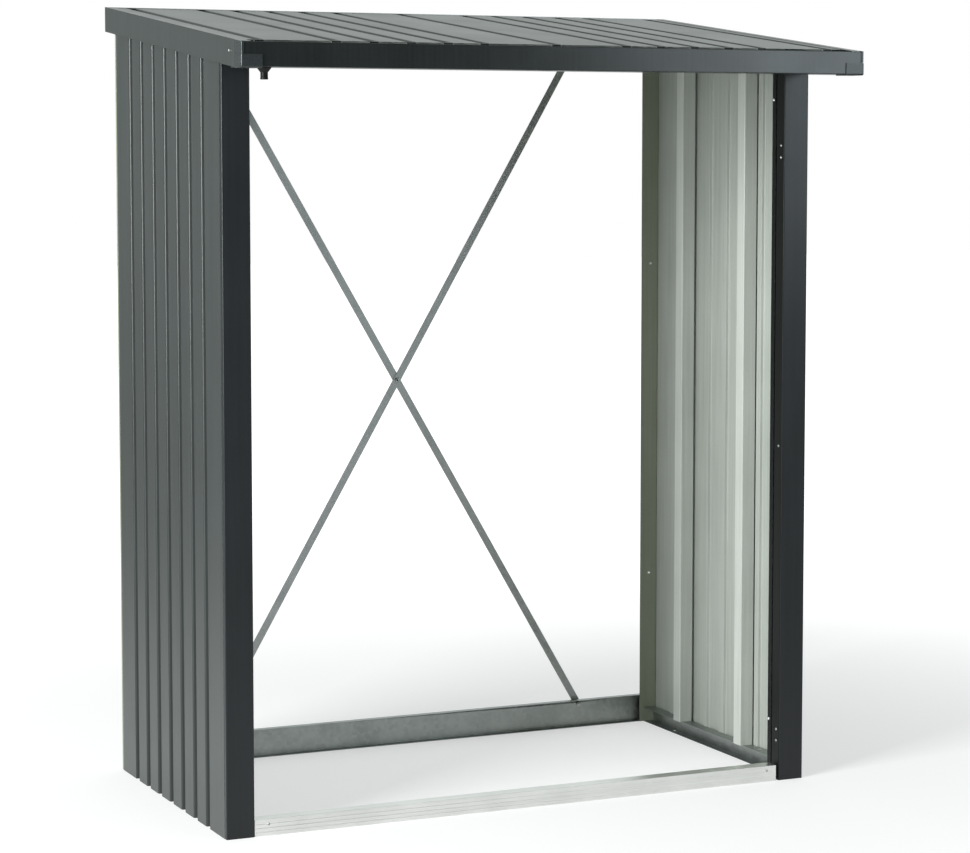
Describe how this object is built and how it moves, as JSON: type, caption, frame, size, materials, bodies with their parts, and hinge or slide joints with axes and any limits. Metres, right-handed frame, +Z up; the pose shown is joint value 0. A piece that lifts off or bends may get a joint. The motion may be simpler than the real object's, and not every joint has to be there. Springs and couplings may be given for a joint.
{
  "type": "log store",
  "caption": "Open-fronted metal log store with grooved side walls, a roof that falls forward to a gutter, a bright front sill and a crossed strap brace at the back.",
  "frame": {"origin": "on the ground, in the middle of the rectangle of the four posts and of the four anchor holes", "axes": "+Z up, +X to the right as seen from the open front, which faces -Y"},
  "size_m": [1.605, 1.0335, 1.96],
  "materials": {
    "post_coating": "dark anthracite polyester coat on folded steel, satin",
    "wall_coating": "metallic grey coat outside, pale grey-green back coat inside, satin",
    "roof_coating": "metallic grey coat above, pale grey-green back coat below, satin",
    "trim_coating": "metallic grey coat on folded steel, satin",
    "inner_coating": "pale grey-green back coat, satin",
    "zinc_steel": "hot-dip galvanised steel, dull spangle",
    "strap_zinc": "galvanised strip, dull grey",
    "sill_aluminium": "mill-finish extruded aluminium with fine grooves",
    "black_plastic": "dark grey moulded weatherproof plastic, matt"
  },
  "bodies": {
    "root": {"front_post_left": "post_coating", "front_post_right": "post_coating", "rear_post_left": "inner_coating", "rear_post_right": "inner_coating", "front_top_rail": "zinc_steel", "rear_top_rail": "zinc_steel", "side_top_rail_left": "zinc_steel", "side_top_rail_right": "zinc_steel", "front_sill": "sill_aluminium", "rear_floor_rail": "zinc_steel", "side_floor_rail_left": "zinc_steel", "side_floor_rail_right": "zinc_steel", "side_wall_left": "wall_coating", "side_wall_right": "wall_coating", "stiffener_left_front": "inner_coating", "stiffener_left_rear": "inner_coating", "stiffener_right_front": "inner_coating", "stiffener_right_rear": "inner_coating", "roof_sheet_left": "roof_coating", "roof_sheet_right": "roof_coating", "verge_trim_left": "trim_coating", "verge_trim_right": "trim_coating", "rear_fascia": "trim_coating", "gutter": "trim_coating", "gutter_cap_left": "black_plastic", "gutter_cap_right": "black_plastic", "gutter_outlet": "black_plastic", "brace_strap_falling": "strap_zinc", "brace_strap_rising": "strap_zinc"}
  },
  "joints": []
}
